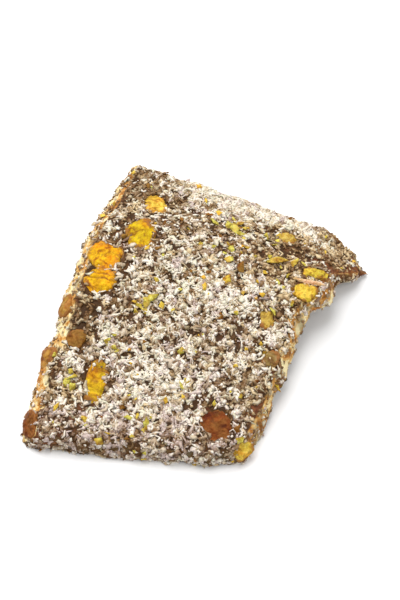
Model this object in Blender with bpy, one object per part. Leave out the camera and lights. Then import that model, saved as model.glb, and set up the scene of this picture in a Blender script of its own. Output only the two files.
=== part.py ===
"""One leaf of cezerye: a thin, gently arched slab of carrot paste with chopped nuts set in it.

The leaf lies with its coated face up. It rests on its straight front edge and on its
bent-down back edge, so the middle stands a little clear of the ground.
Lengths in the constants are millimetres; the objects are built in metres, +Z up.
"""
import math

import bmesh
import bpy
from mathutils import Vector, noise

MM = 0.001

# Plan of the underside, seen from above: the corners, going round from the front left.
FRONT_LEFT = Vector((-55.5, -48.5))
LEFT_KNEE = Vector((-49.9, -20.5))
LEFT_DENT = Vector((-45.9, -11.5))
LEFT_SIDE = Vector((-43.4, 1.0))
FRONT_RIGHT = Vector((15.0, -55.9))
RIGHT_SIDE = Vector((27.8, -26.0))
NOTCH = Vector((34.9, -6.2))
LOBE = Vector((43.6, -2.0))
CLEFT = Vector((43.2, 5.0))
TIP = Vector((56.2, 13.8))
SHOULDER = Vector((46.2, 25.2))
BACK_LEFT = Vector((-25.4, 55.0))

FRONT_BOW = 0.6           # outward bulge of the front edge
BACK_BOW = 1.6            # outward bulge of the back edge
CORNER_ROUNDING = 1.8     # how far the corners are pulled in
CORNER_REACH = 7.5        # how far from a corner this is felt
EDGE_RAGGEDNESS = 0.8     # sideways unevenness of the cut edges, twice as much at the tear
RAGGED_STEP = 6.0         # distance from one ragged bump to the next

# How far the upper rim stands inside the lower one, so that the walls lean.
LEFT_LEAN = 5.6
RIGHT_LEAN = 1.6
FRONT_LEAN = 0.9
BACK_LEAN = 0.8
WALL_BULGE = 0.5          # how far a wall swells halfway up

# The leaf across its thickness and along its arch.
THICKNESS = 7.0
TIP_THICKNESS = 0.55      # share of the thickness that is left at the torn tip
TIP_TAPER = 20.0          # the length over which it thins
RIM_DROP = 0.7            # how much lower the upper rim is than the face
ARCH_RISE = 7.8           # clearance under the highest part
FOOT_END = 0.05           # share of the run that the front foot takes
CREST_START = 0.65        # where the underside is fully up
BEND_START = 0.70         # where the back starts to bend down
BEND_END = 0.97           # where the back foot starts
RELIEF = 0.35             # slow unevenness of the faces
RELIEF_STEP = 17.0

COLUMNS = 24
ROWS = 28
WALL_LAYERS = 3

# Chopped nuts. Place in plan, length, width, turn in degrees, colour.
# The upper face shows these.
FACE_NUTS = {
    "nut_pair_upper": ((-29.2, 12.6), 9.6, 11.2, 78, "orange"),
    "nut_pair_lower": ((-31.1, 3.1), 8.2, 10.2, 78, "orange"),
    "nut_golden": ((-18.5, 20.6), 13.0, 10.4, 100, "golden"),
    "nut_bend": ((-13.8, 36.2), 10.4, 8.0, 95, "yellow"),
    "nut_long": ((-31.4, -30.2), 16.0, 7.4, 82, "golden"),
    "nut_small_left": ((-37.9, -16.2), 7.2, 6.4, 60, "brown"),
    "nut_round": ((5.6, -44.9), 11.6, 9.6, 95, "redbrown"),
    "nut_middle_right": ((21.9, -10.6), 7.0, 5.2, 88, "yellow"),
    "nut_low_right": ((22.6, -24.3), 5.8, 5.2, 80, "brown"),
    "nut_far_right": ((29.2, 23.2), 7.0, 4.8, 165, "yellow"),
    "nut_torn_front": ((33.3, -1.8), 8.8, 6.0, 165, "yellow"),
    "nut_torn_back": ((37.4, 5.2), 8.8, 4.4, 172, "yellow"),
}
# The walls show these. Place in plan, height, length, width, turn, colour and the way it faces.
WALL_NUTS = {
    "nut_front_left": ((-52.0, -43.4), 4.5, 9.6, 6.2, 76, "redbrown", (-0.74, -0.20, 0.64)),
    "nut_front_right": ((13.8, -52.6), 4.6, 6.6, 6.0, 70, "yellow", (0.40, -0.58, 0.70)),
    "nut_left_low": ((-47.4, -20.8), 5.4, 6.8, 6.4, 75, "brown", (-0.76, -0.05, 0.65)),
    "nut_left_wall": ((-42.3, -3.0), 8.4, 7.0, 6.4, 72, "brown", (-0.76, 0.00, 0.65)),
}
# The underside shows these.
UNDER_NUTS = {
    "nut_under_left": ((-24.0, -8.0), 10.5, 8.2, 40, "golden"),
    "nut_under_back": ((-8.0, 22.0), 9.4, 7.6, 120, "orange"),
    "nut_under_right": ((14.0, -16.0), 8.2, 6.6, 10, "redbrown"),
    "nut_under_far": ((22.0, 12.0), 7.4, 6.4, 75, "yellow"),
}

NUT_PROUD = 0.3           # how far a nut stands out of its face
NUT_WAIST = 0.5           # depth of its widest part below the face
NUT_DEPTH = 2.5           # from the widest part down to its bottom
NUT_SEGMENTS = 12
NUT_RINGS = 7
NUT_SQUARENESS = 0.74     # below 1 the nut is fuller than an ellipsoid
NUT_UNEVENNESS = 0.14
SEAT_GAP = 0.3            # clearance between a nut and its pocket

# Base colour and roughness.
FINISHES = {
    "paste": ((0.42, 0.29, 0.17), 0.55),
    "orange": ((0.80, 0.40, 0.02), 0.40),
    "golden": ((0.70, 0.40, 0.02), 0.40),
    "yellow": ((0.76, 0.50, 0.08), 0.45),
    "brown": ((0.40, 0.19, 0.04), 0.45),
    "redbrown": ((0.26, 0.08, 0.02), 0.45),
}


def smooth(x):
    """Ease from 0 to 1."""
    x = min(max(x, 0.0), 1.0)
    return x * x * (3.0 - 2.0 * x)


def ripple(x, y, z, step):
    """Smooth unevenness between about -1 and 1, with bumps about one step apart."""
    return 2.0 * noise.noise(Vector((x, y, z)) / step)


def along(points, t):
    """The point a share t of the way along a chain of straight stretches."""
    lengths = [(b - a).length for a, b in zip(points, points[1:])]
    left = t * sum(lengths)
    for a, b, length in zip(points, points[1:], lengths):
        if left <= length:
            return a.lerp(b, left / length)
        left -= length
    return points[-1].copy()


def outward(a, b):
    """The level direction to the right of the way from a to b."""
    way = (b - a).normalized()
    return Vector((way.y, -way.x))


FRONT_OUT = outward(FRONT_LEFT, FRONT_RIGHT)
RIGHT_OUT = outward(FRONT_RIGHT, NOTCH)
BACK_OUT = outward(SHOULDER, BACK_LEFT)
LEFT_IN = (FRONT_RIGHT - FRONT_LEFT).normalized()


def front_edge(u):
    return FRONT_LEFT.lerp(FRONT_RIGHT, u) + FRONT_OUT * FRONT_BOW * 4.0 * u * (1.0 - u)


def back_edge(u):
    return along((BACK_LEFT, SHOULDER, TIP), u) + BACK_OUT * BACK_BOW * 4.0 * u * (1.0 - u)


def left_edge(v):
    return along((FRONT_LEFT, LEFT_KNEE, LEFT_DENT, LEFT_SIDE, BACK_LEFT), v)


def right_edge(v):
    return along((FRONT_RIGHT, RIGHT_SIDE, NOTCH, LOBE, CLEFT, TIP), v)


def plan(u, v):
    """A point of the plan, u from left to right and v from front to back."""
    across = front_edge(u).lerp(back_edge(u), v)
    lengthwise = left_edge(v).lerp(right_edge(v), u)
    corners = FRONT_LEFT.lerp(FRONT_RIGHT, u).lerp(BACK_LEFT.lerp(TIP, u), v)
    return across + lengthwise - corners


def run(x, y):
    """Share of the way from the front line (0) to the back line (1)."""
    point = Vector((x, y))
    from_front = max((FRONT_LEFT - point).dot(FRONT_OUT), 0.0)
    from_back = max((BACK_LEFT - point).dot(BACK_OUT), 0.0)
    return from_front / (from_front + from_back)


def clearance(x, y):
    """Height of the underside above the ground."""
    s = run(x, y)
    rise = smooth((s - FOOT_END) / (CREST_START - FOOT_END))
    bend = smooth((s - BEND_START) / (BEND_END - BEND_START))
    lift = rise * (1.0 - bend)
    return max(lift * (ARCH_RISE + RELIEF * ripple(x, y, 0.0, RELIEF_STEP)), 0.0)


def thickness(x, y):
    """Thickness of the leaf at a place in plan."""
    near_tip = 1.0 - smooth((TIP - Vector((x, y))).length / TIP_TAPER)
    share = 1.0 - (1.0 - TIP_THICKNESS) * near_tip
    return THICKNESS * share + RELIEF * ripple(x, y, 9.0, RELIEF_STEP)


def spread(t):
    """Even steps, drawn a little closer together at both ends."""
    return 0.5 * (t + 0.5 - 0.5 * math.cos(math.pi * t))


def leaf_point(a, b, w):
    """The leaf's point for grid shares a and b, and for a share w of the thickness."""
    u, v = spread(a), spread(b)
    place = plan(u, v)

    # The walls lean inward towards the top, and swell a little halfway up.
    place += LEFT_IN * LEFT_LEAN * w * (1.0 - u)
    place -= RIGHT_OUT * RIGHT_LEAN * w * u
    place -= FRONT_OUT * FRONT_LEAN * w * (1.0 - v)
    place -= BACK_OUT * BACK_LEAN * w * v

    middle = plan(0.5, 0.5)
    for corner in (FRONT_LEFT, FRONT_RIGHT, BACK_LEFT):
        near = 1.0 - smooth((place - corner).length / CORNER_REACH)
        place -= (corner - middle).normalized() * CORNER_ROUNDING * near

    # Only the rim is ragged and swollen.
    on_rim = a in (0.0, 1.0) or b in (0.0, 1.0)
    drop = 0.0
    if on_rim:
        away = (place - middle).normalized()
        bump = EDGE_RAGGEDNESS * (1.0 + u * v) * ripple(place.x, place.y, 5.0 * w, RAGGED_STEP)
        place += away * (bump + WALL_BULGE * 4.0 * w * (1.0 - w))
        drop = RIM_DROP * smooth(w)
    height = clearance(place.x, place.y) + w * thickness(place.x, place.y) - drop
    return Vector((place.x, place.y, height)) * MM


def surface(x, y, side):
    """Point and outward normal of the upper (side 1) or under (side -1) face."""
    def height(px, py):
        top = thickness(px, py) if side > 0 else 0.0
        return clearance(px, py) + top

    step = 0.5
    slope_x = (height(x + step, y) - height(x - step, y)) / (2.0 * step)
    slope_y = (height(x, y + step) - height(x, y - step)) / (2.0 * step)
    normal = Vector((-slope_x, -slope_y, 1.0)).normalized() * side
    return Vector((x, y, height(x, y))), normal


def make_material(name, finish):
    colour, roughness = FINISHES[finish]
    material = bpy.data.materials.new(name)
    material.use_nodes = True
    shader = material.node_tree.nodes["Principled BSDF"]
    shader.inputs["Base Color"].default_value = (*colour, 1.0)
    shader.inputs["Roughness"].default_value = roughness
    shader.inputs["Metallic"].default_value = 0.0
    material.diffuse_color = (*colour, 1.0)
    return material


def add_object(name, bm, collection, material):
    mesh = bpy.data.meshes.new(name)
    bmesh.ops.recalc_face_normals(bm, faces=bm.faces[:])
    bm.to_mesh(mesh)
    bm.free()
    mesh.materials.append(material)
    obj = bpy.data.objects.new(name, mesh)
    collection.objects.link(obj)
    return obj


def make_leaf(collection):
    """A layered block, bent into the leaf's shape."""
    bm = bmesh.new()
    bmesh.ops.create_grid(bm, x_segments=COLUMNS, y_segments=ROWS, size=0.5)
    raised = bmesh.ops.extrude_face_region(bm, geom=bm.faces[:])["geom"]
    top_verts = [item for item in raised if isinstance(item, bmesh.types.BMVert)]
    bmesh.ops.translate(bm, verts=top_verts, vec=(0.0, 0.0, 1.0))
    upright = [edge for edge in bm.edges if edge.verts[0].co.z != edge.verts[1].co.z]
    bmesh.ops.subdivide_edges(bm, edges=upright, cuts=WALL_LAYERS - 1)
    for vert in bm.verts:
        a = round((vert.co.x + 0.5) * COLUMNS) / COLUMNS
        b = round((vert.co.y + 0.5) * ROWS) / ROWS
        vert.co = leaf_point(a, b, vert.co.z)
    return add_object("cezerye_leaf", bm, collection, make_material("paste", "paste"))


def nut_mesh(length, width, seed, gap):
    """A chopped nut, flat-topped, with its face level at its own zero height."""
    bm = bmesh.new()
    bmesh.ops.create_uvsphere(bm, u_segments=NUT_SEGMENTS, v_segments=NUT_RINGS, radius=1.0)
    for vert in bm.verts:
        direction = vert.co.normalized()
        size = 1.0 + NUT_UNEVENNESS * ripple(*(direction * 2.0 + Vector((seed, 0.0, 0.0))), 1.6)
        full = Vector([math.copysign(abs(c) ** NUT_SQUARENESS, c) for c in direction])
        upper = NUT_PROUD + NUT_WAIST
        tall = upper if full.z > 0.0 else NUT_DEPTH
        vert.co.x = full.x * (0.5 * length * size + gap) * MM
        vert.co.y = full.y * (0.5 * width * size + gap) * MM
        vert.co.z = (full.z * (tall + gap) - NUT_WAIST) * MM
    bmesh.ops.triangulate(bm, faces=bm.faces[:], quad_method="FIXED")
    return bm


def make_nut(name, place, facing, length, width, turn, colour, nuts, cutters):
    """A nut, and the slightly larger cutter that makes its pocket."""
    seed = 3.7 * (len(nuts.objects) + 1)
    stand = facing.to_track_quat("Z", "Y")
    rotation = stand.to_matrix().to_4x4()
    spin = Vector((math.cos(math.radians(turn)), math.sin(math.radians(turn)), 0.0))
    level = (spin - facing * spin.dot(facing)).normalized()
    rotation.col[0][:3] = level
    rotation.col[1][:3] = facing.cross(level)
    rotation.translation = place * MM
    nut = add_object(name, nut_mesh(length, width, seed, 0.0), nuts, make_material(name, colour))
    nut.matrix_world = rotation
    cutter = add_object(name + "_pocket", nut_mesh(length, width, seed, SEAT_GAP), cutters,
                        nut.data.materials[0])
    cutter.matrix_world = rotation
    cutter.hide_render = True
    cutter.display_type = "WIRE"
    return nut


def make_nuts(nuts, cutters):
    for side, table in ((1, FACE_NUTS), (-1, UNDER_NUTS)):
        for name, ((x, y), length, width, turn, colour) in table.items():
            place, facing = surface(x, y, side)
            make_nut(name, place, facing, length, width, turn, colour, nuts, cutters)
    for name, ((x, y), z, length, width, turn, colour, facing) in WALL_NUTS.items():
        place = Vector((x, y, z))
        facing = Vector(facing).normalized()
        make_nut(name, place, facing, length, width, turn, colour, nuts, cutters)


def cut_pockets(leaf, cutters):
    pockets = leaf.modifiers.new("pockets", "BOOLEAN")
    pockets.operation = "DIFFERENCE"
    pockets.solver = "EXACT"
    pockets.operand_type = "COLLECTION"
    pockets.collection = cutters


def centre_on_origin(collection, cutters):
    """Move everything sideways, so that the box round the food stands on the origin."""
    bpy.context.view_layer.update()
    points = [obj.matrix_world @ vert.co for obj in collection.objects for vert in obj.data.vertices]
    for axis in range(2):
        spans = [point[axis] for point in points]
        middle = 0.5 * (min(spans) + max(spans))
        for obj in [*collection.objects, *cutters.objects]:
            obj.location[axis] -= middle


def main():
    for obj in list(bpy.data.objects):
        bpy.data.objects.remove(obj, do_unlink=True)
    cezerye = bpy.data.collections.new("cezerye")
    cutters = bpy.data.collections.new("pocket_cutters")
    for collection in (cezerye, cutters):
        bpy.context.scene.collection.children.link(collection)
    cutters.hide_render = True
    leaf = make_leaf(cezerye)
    make_nuts(cezerye, cutters)
    cut_pockets(leaf, cutters)
    centre_on_origin(cezerye, cutters)


main()
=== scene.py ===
import functools
import math
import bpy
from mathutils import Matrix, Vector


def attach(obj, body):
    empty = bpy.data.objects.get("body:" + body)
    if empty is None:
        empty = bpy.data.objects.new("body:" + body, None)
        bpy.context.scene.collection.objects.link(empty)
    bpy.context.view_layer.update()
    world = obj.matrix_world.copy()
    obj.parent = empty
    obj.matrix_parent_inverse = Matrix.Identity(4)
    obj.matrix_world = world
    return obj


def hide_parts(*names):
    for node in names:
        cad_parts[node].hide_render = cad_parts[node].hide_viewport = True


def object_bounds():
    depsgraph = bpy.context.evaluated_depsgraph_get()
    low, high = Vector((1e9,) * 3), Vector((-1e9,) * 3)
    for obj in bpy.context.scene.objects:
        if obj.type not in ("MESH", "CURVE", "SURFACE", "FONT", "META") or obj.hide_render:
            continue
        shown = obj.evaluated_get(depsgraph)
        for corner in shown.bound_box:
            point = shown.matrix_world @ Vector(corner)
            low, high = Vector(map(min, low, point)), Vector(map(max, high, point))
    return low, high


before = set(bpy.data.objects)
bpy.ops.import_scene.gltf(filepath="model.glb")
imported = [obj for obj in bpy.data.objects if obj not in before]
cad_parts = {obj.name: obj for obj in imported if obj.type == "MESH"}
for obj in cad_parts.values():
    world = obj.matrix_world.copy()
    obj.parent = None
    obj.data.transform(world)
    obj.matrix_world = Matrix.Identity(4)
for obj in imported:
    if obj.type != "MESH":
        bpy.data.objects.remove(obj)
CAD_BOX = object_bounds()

import types

import bmesh
import bpy
import numpy as np
from bpy.props import FloatProperty, FloatVectorProperty, IntProperty, PointerProperty
from mathutils import Vector, bvhtree, kdtree, noise

bl_info = {
    "name": "Cezerye Leaf",
    "version": (1, 0, 0),
    "blender": (4, 5, 0),
    "location": "View3D > Sidebar > Cezerye",
    "description": "Finishes a leaf of carrot paste with coconut shreds and chopped nuts",
    "category": "Add Mesh",
}

MM = 0.001
WELD = 0.001 * MM
LEAF = "cezerye_leaf"
NUTS = sorted(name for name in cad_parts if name.startswith("nut_"))
WALL_NUTS = ("nut_front_left", "nut_front_right", "nut_left_low", "nut_left_wall")
# The coat stays clear of these up to their rims.
CLEAR_NUTS = ("nut_pair_upper", "nut_pair_lower", "nut_small_left", "nut_left_low", "nut_left_wall")
# How far the nuts bulge over the rims of their seats, as a share of their size.
SWELL = 0.12
SWELL_MORE = {"nut_pair_upper": 0.19, "nut_pair_lower": 0.19, "nut_left_low": 0.32, "nut_left_wall": 0.28}

# Which kind of flesh each nut has. The rest are pale yellow.
NUT_KINDS = {
    "nut_pair_upper": "orange", "nut_pair_lower": "orange", "nut_under_back": "orange",
    "nut_left_wall": "russet", "nut_left_low": "russet",
    "nut_golden": "golden", "nut_under_left": "golden", "nut_long": "amber",
    "nut_small_left": "brown", "nut_low_right": "tan",
    "nut_middle_right": "toasted", "nut_far_right": "toasted",
    "nut_torn_front": "lemon", "nut_torn_back": "lemon",
    "nut_round": "ruddy", "nut_front_left": "ruddy", "nut_under_right": "ruddy",
}

# Patches of the upper face: x and y from the middle of the leaf and reach, in millimetres, and strength.
# Here the coat is rubbed off or torn, and the dark paste shows.
BARE_PATCHES = (
    (-40, -7, 3.6, 0.8), (-32, -6.5, 3.2, 0.8), (-24, -3, 2.6, 0.9), (-8, -17, 2.6, 0.9),
    (-3, -15.5, 2.4, 0.9), (10.5, -15, 3, 0.8), (19, -40, 3.4, 1), (17, -45, 3.6, 1), (22, -34, 3, 0.8),
    (25, -29, 2.6, 0.7), (27.5, 17, 3.4, 1), (31.5, 14.5, 3.4, 1), (36.5, 13, 3, 1),
    (43, 10.2, 2.6, 0.9), (48.5, 11, 2.4, 1), (52, 12.4, 4.2, 1), (-35.5, 15.5, 2.6, 0.7),
    (-25.5, 38, 2.4, 0.7), (9, -30, 2, 0.7), (-20, 30, 3.6, 0.8), (-26, 22, 3, 0.8),
    (-23, 10, 2.6, 0.9), (-18, 42, 2.6, 0.6), (20, 27, 3, 0.7), (0, 12, 2.4, 0.6),
    (-46.5, -50, 3.4, 0.9), (-33, -50.5, 2.6, 0.6), (-22, -51.5, 2.6, 0.6), (-11, -50.5, 2.6, 0.5),
    (16, -49, 2.4, 0.7),
)

# Here the face is cut as the walls are, and is tan and orange.
CUT_PATCHES = (
    (36, -4.6, 3.6, 1), (40.5, -2.6, 3.2, 1), (33.4, -8, 3, 1), (29.6, -11, 2.6, 0.9),
    (28.6, -17, 1.8, 0.8), (27.2, -23.5, 3.2, 1), (25.8, -31, 3, 1), (21.5, -44, 3, 1),
    (23.6, -38, 2.6, 1), (-39.5, 13, 2.6, 0.8), (-43, -11, 3, 1), (-43.6, -16, 3, 1),
    (-50.4, -37, 2.4, 1), (-49.4, -30.5, 2.2, 0.9), (38.6, -5, 3.4, 1), (43, -0.5, 2.6, 1),
    (-47, -21, 2.6, 0.7),
)

# Here the leaf is torn, and its paste is red.
TORN_PATCHES = (
    (40, 4, 10, 0.8), (52, 12.6, 6, 1), (18.5, -42, 6, 0.8), (25, -28, 5, 0.6), (-48, -47, 6, 0.8),
)

# Here the coat is thick and white. The three patches at y from -56 to -58 are painted light on the front
# wall.
PALE_AND_LIT_PATCHES = (
    (-27, -40, 9, 1), (-14, -36, 8, 0.6), (-26, -24, 6, 0.6), (-9, -29, 6, 0.8), (8, -22, 6, 0.8),
    (17, -29, 4, 0.6), (20, -16, 8, 1), (24, -18, 5, 0.8), (9, -8, 6, 1), (27, -13, 4, 1),
    (22, -21, 4, 1), (14, 9, 6, 0.9), (-17, -18, 5, 0.9), (-22, -30, 7, 0.7), (-3, -31, 6, 0.7),
    (17, -1.5, 8, 0.6), (-3, -40, 7, 1), (-28, -42, 6, 0.8), (-19, 30, 6, 1), (21, 22, 5, 0.8),
    (-41, -23, 4, 1), (-14, -4, 7, 0.3), (-4, 9, 7, 0.3), (-12, -57, 9, 1), (4, -58, 10, 0.3),
    (-24, -56, 5, 1), (9, -50.5, 3, 1), (-16, -29, 6, 1), (28, -10, 4, 1), (45, 19, 7, 1.3),
)

# Here it is thin and dull. Some of these are painted shade: the band at y about 22 and the spots near the
# left edge.
DULL_AND_SHADED_PATCHES = (
    (-9, -15.5, 5, 0.8), (4, -16, 6, 0.8), (-26, -7, 6, 0.6), (-39, -8, 7, 0.6), (-20, 22, 8, 0.6),
    (-8, 23, 8, 0.6), (3, 23, 8, 0.8), (-16, 44, 9, 1), (-24, 46, 8, 1), (-34, 18, 6, 1),
    (34, 10, 8, 0.6), (-28, 39, 6, 0.8), (-34, 15, 4, 1), (3, 15, 6, 1), (9.5, -30, 4, 1),
    (-41, -30, 3.5, 1), (-21, 14, 3, 1), (-16, 14, 4, 0.8), (41, 14.5, 5, 0.8), (17, -47, 5, 0.6),
    (-22, -50, 6, 0.6), (-34, -50, 5, 0.6), (14, -42, 7, 0.7), (-48, -41, 5, 0.5),
)

# Here the paste has soaked the coat, which is darker and more yellow.
SOAKED_PATCHES = (
    (27, 16, 18, 1), (46, 18, 12, 1.4), (-42, -8, 12, 0.9), (-24, 36, 16, 0.5), (25, -36, 11, 1),
    (31, -8, 6, 0.9), (27, -22, 5, 0.8), (-48, -30, 9, 0.5),
)

# Where the larger pistachio crumbs lie, in millimetres from the middle of the leaf.
PISTACHIO_PLACES = (
    (-18.6, -5.4), (-16.6, -4.4), (-15, -3.2), (-17.4, -7.2), (-28.6, -16.6), (-27, -18.6),
    (-25.4, -20.4), (-26.4, -15), (-40.2, -26.6), (-38.8, -28.4), (-41.4, -29.6), (-39.6, -31.4),
    (-16.2, -43.8), (-17.4, -46), (-20.4, -48), (10.6, 31), (12.8, 28.4), (14.4, 26.6), (9, 17),
    (10.4, 14.8), (8.2, 13), (9.4, 10.6), (24.2, 18.6), (22.4, 12.4), (24, 10.6), (25.8, 8.4),
    (27.8, 4.8), (24.6, 2.6), (29, -6), (-4.4, -30), (-5.6, -31.8), (12.2, -50), (-45, -20),
    (13.6, -1.8), (9.4, 27.4), (11.5, 25.4), (13, 22.8), (14.2, 20.4), (15.6, 16.6), (17.4, 12.4),
    (21.6, 22.6), (30.2, 9.6), (4.8, 27.2), (26.4, 0.4), (-20.2, -7), (-22, -42), (-6.2, -20.4),
)


# ---- settings

def length(name, text, default):
    """A length in metres that a user can set."""
    return FloatProperty(name=name, description=text, default=default, min=0.0,
                         precision=5, subtype="DISTANCE", unit="LENGTH")


def colour(name, text, default):
    """A linear colour that a user can set."""
    return FloatVectorProperty(name=name, description=text, default=default, size=3,
                               min=0.0, max=1.0, subtype="COLOR")


def share(name, text, default):
    """A share from 0 to 1 that a user can set."""
    return FloatProperty(name=name, description=text, default=default, min=0.0, max=1.0,
                         subtype="FACTOR")


def number(name, text, default):
    """A count that a user can set."""
    return IntProperty(name=name, description=text, default=default, min=0)


class PasteSettings(bpy.types.PropertyGroup):
    grain: length("Grain", "Edge length of the paste's mesh", 0.5 * MM)
    lumps: length("Lumps", "Height of the broad lumps in the coated face", 0.45 * MM)
    grit: length("Grit", "Height of the fine roughness", 0.16 * MM)
    # This colour is also the painted shade in the coat's holes and low spots.
    dark: colour("Dark paste", "Paste in the hollows of the coat", (0.050, 0.021, 0.005))
    body: colour("Paste", "Caramelised carrot paste", (0.102, 0.045, 0.012))
    red: colour("Red paste", "Paste where carrot shows", (0.142, 0.037, 0.013))
    cut: colour("Cut paste", "Tan paste on the cut walls", (0.680, 0.425, 0.138))
    pale: colour("Pale paste", "Cream streaks on the cut walls", (0.890, 0.760, 0.430))
    rust: colour("Rusty paste", "Orange streaks on the cut walls", (0.540, 0.216, 0.034))
    stain: colour("Nut stain", "Paste smeared round the nuts", (0.300, 0.115, 0.030))
    skin: colour("Nut skin", "Pale tan skin between the torn nuts", (0.600, 0.375, 0.145))


class CoatSettings(bpy.types.PropertyGroup):
    shred_length: length("Shred length", "Middle length of a coconut shred", 2.10 * MM)
    shred_width: length("Shred width", "Middle width of a coconut shred", 0.95 * MM)
    flake_length: length("Flake length", "Middle length of a coconut flake", 1.9 * MM)
    flake_width: length("Flake width", "Middle width of a coconut flake", 1.45 * MM)
    grain_size: length("Grain size", "Middle size of a coconut grain", 0.85 * MM)
    shreds: number("Shreds", "Shreds tried all over the leaf", 17000)
    flakes: number("Flakes", "Flakes tried all over the leaf", 9500)
    grains: number("Grains", "Grains tried all over the leaf", 21000)
    hole_share: share("Hole share", "How much of the coat is small holes", 0.22)
    white: colour("White coconut", "Dry shreds on top", (0.950, 0.895, 0.812))
    cream: colour("Cream coconut", "Shreds half sunk in the paste", (0.600, 0.480, 0.340))
    tan: colour("Tan coconut", "Shreds soaked by the paste", (0.250, 0.141, 0.054))
    ochre: colour("Ochre tint", "Shreds stained by the nuts", (0.620, 0.430, 0.130))
    lilac: colour("Lilac tint", "Shreds stained by the paste", (0.480, 0.340, 0.330))
    green: colour("Green tint", "Shreds stained by the pistachios", (0.640, 0.640, 0.430))


class NutSettings(bpy.types.PropertyGroup):
    orange: colour("Orange nuts", "Bright orange yellow flesh", (0.700, 0.345, 0.003))
    golden: colour("Golden nuts", "Golden flesh with an olive cast", (0.540, 0.305, 0.002))
    amber: colour("Amber nuts", "Deeper golden flesh", (0.520, 0.290, 0.004))
    yellow: colour("Yellow nuts", "Pale yellow flesh", (0.660, 0.420, 0.040))
    lemon: colour("Lemon nuts", "Bright flesh where the leaf is torn", (0.600, 0.400, 0.030))
    toasted: colour("Toasted nuts", "Lightly toasted flesh", (0.470, 0.275, 0.036))
    tan: colour("Tan nuts", "Flesh soaked by the paste", (0.265, 0.160, 0.042))
    russet: colour("Russet nuts", "Orange brown flesh in the cut walls", (0.370, 0.166, 0.021))
    brown: colour("Brown nuts", "Darkly toasted flesh", (0.215, 0.088, 0.010))
    ruddy: colour("Ruddy nuts", "Nuts in their red skin", (0.165, 0.043, 0.005))
    shell: colour("Nut veins", "Dark veins and creases of the nuts", (0.140, 0.055, 0.012))
    crumbs: number("Crumbs", "Stray nut crumbs in the coat", 260)
    green: colour("Green crumbs", "Pistachio crumbs", (0.520, 0.400, 0.050))


class StageSettings(bpy.types.PropertyGroup):
    elevation: FloatProperty(name="Elevation", description="How steeply the camera looks down",
                             default=math.radians(58.0), subtype="ANGLE", unit="ROTATION")
    focal: FloatProperty(name="Focal length", description="Lens in millimetres", default=100.0,
                         min=1.0, subtype="DISTANCE_CAMERA", unit="CAMERA")
    distance: length("Distance", "From the camera to the leaf", 0.531)
    floor: colour("Floor", "Plain pale floor", (0.90, 0.90, 0.90))


# ---- shape helpers

def ripple(point, step, seed=0.0):
    """Smooth unevenness between about -1 and 1, with bumps about one step apart."""
    return 2.0 * noise.noise(Vector(point) / step + Vector((seed, seed * 0.7, -seed)))


def ripples(points, step, seed=0.0):
    """The same unevenness at each of many points."""
    return np.array([ripple(point, step, seed) for point in points])


def ease(x):
    """Ease from 0 to 1, for numbers or arrays."""
    x = np.clip(x, 0.0, 1.0)
    return x * x * (3.0 - 2.0 * x)


def read_rows(items, key):
    """One row of three numbers for each item of a mesh."""
    flat = np.empty(len(items) * 3)
    items.foreach_get(key, flat)
    return flat.reshape(-1, 3)


def read_points(mesh):
    return read_rows(mesh.vertices, "co")


def read_normals(mesh):
    return read_rows(mesh.vertex_normals, "vector")


def write_points(mesh, points):
    mesh.vertices.foreach_set("co", points.astype(np.float32).ravel())
    mesh.update()


def smooth(mesh):
    mesh.polygons.foreach_set("use_smooth", np.ones(len(mesh.polygons), dtype=bool))


def settle(mesh):
    """Keep a mesh above the ground, and shade it smooth."""
    points = read_points(mesh)
    points[:, 2] = np.maximum(points[:, 2], CAD_BOX[0][2])
    write_points(mesh, points)
    smooth(mesh)


def add_values(mesh, name, values):
    """Store one number for each vertex."""
    layer = mesh.attributes.new(name, "FLOAT", "POINT")
    layer.data.foreach_set("value", np.asarray(values, dtype=np.float32))


def cad_points(node):
    """The vertices of a CAD node as rows of x, y and z."""
    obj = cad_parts[node]
    world = np.array(obj.matrix_world)
    return read_points(obj.data) @ world[:3, :3].T + world[:3, 3]


def cad_copy(node):
    """A welded copy of a CAD node's mesh."""
    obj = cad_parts[node]
    bm = bmesh.new()
    bm.from_mesh(obj.data)
    bmesh.ops.transform(bm, matrix=obj.matrix_world, verts=bm.verts[:])
    bmesh.ops.remove_doubles(bm, verts=bm.verts[:], dist=WELD)
    bmesh.ops.recalc_face_normals(bm, faces=bm.faces[:])
    return bm


def add_piece(name, mesh, material, slot, *nodes):
    """Link a finished piece, tie it to the body, and hide the CAD parts it takes the place of."""
    obj = bpy.data.objects.new(name, mesh)
    bpy.context.scene.collection.objects.link(obj)
    mesh.materials.clear()
    mesh.materials.append(material)
    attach(obj, "root")
    if nodes:
        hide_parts(*nodes)
    return obj


def with_modifier(mesh, kind, **settings):
    """The mesh after one modifier, as a new mesh."""
    obj = bpy.data.objects.new("workpiece", mesh)
    bpy.context.scene.collection.objects.link(obj)
    modifier = obj.modifiers.new(kind, kind)
    for key, value in settings.items():
        setattr(modifier, key, value)
    depsgraph = bpy.context.evaluated_depsgraph_get()
    result = bpy.data.meshes.new_from_object(obj.evaluated_get(depsgraph))
    bpy.data.objects.remove(obj, do_unlink=True)
    bpy.data.meshes.remove(mesh)
    return result


def nut_seat(node):
    """Middle, outward, long and cross directions, and half sizes of a nut."""
    points = cad_points(node)
    middle = points.mean(axis=0)
    spread = points - middle
    _sizes, axes = np.linalg.eigh(spread.T @ spread)
    out, long = axes[:, 0], axes[:, 2]
    if node in WALL_NUTS:
        toward = 0.5 * (points.min(axis=0) + points.max(axis=0)) * (1.0, 1.0, 0.0)
    else:
        toward = np.array((0.0, 0.0, -1.0 if "under" in node else 1.0))
    if out @ toward < 0.0:
        out = -out
    across = np.cross(out, long)
    halves = [np.abs(spread @ axis).max() for axis in (long, across, out)]
    return middle, out, long, across, halves


# ---- materials

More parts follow.
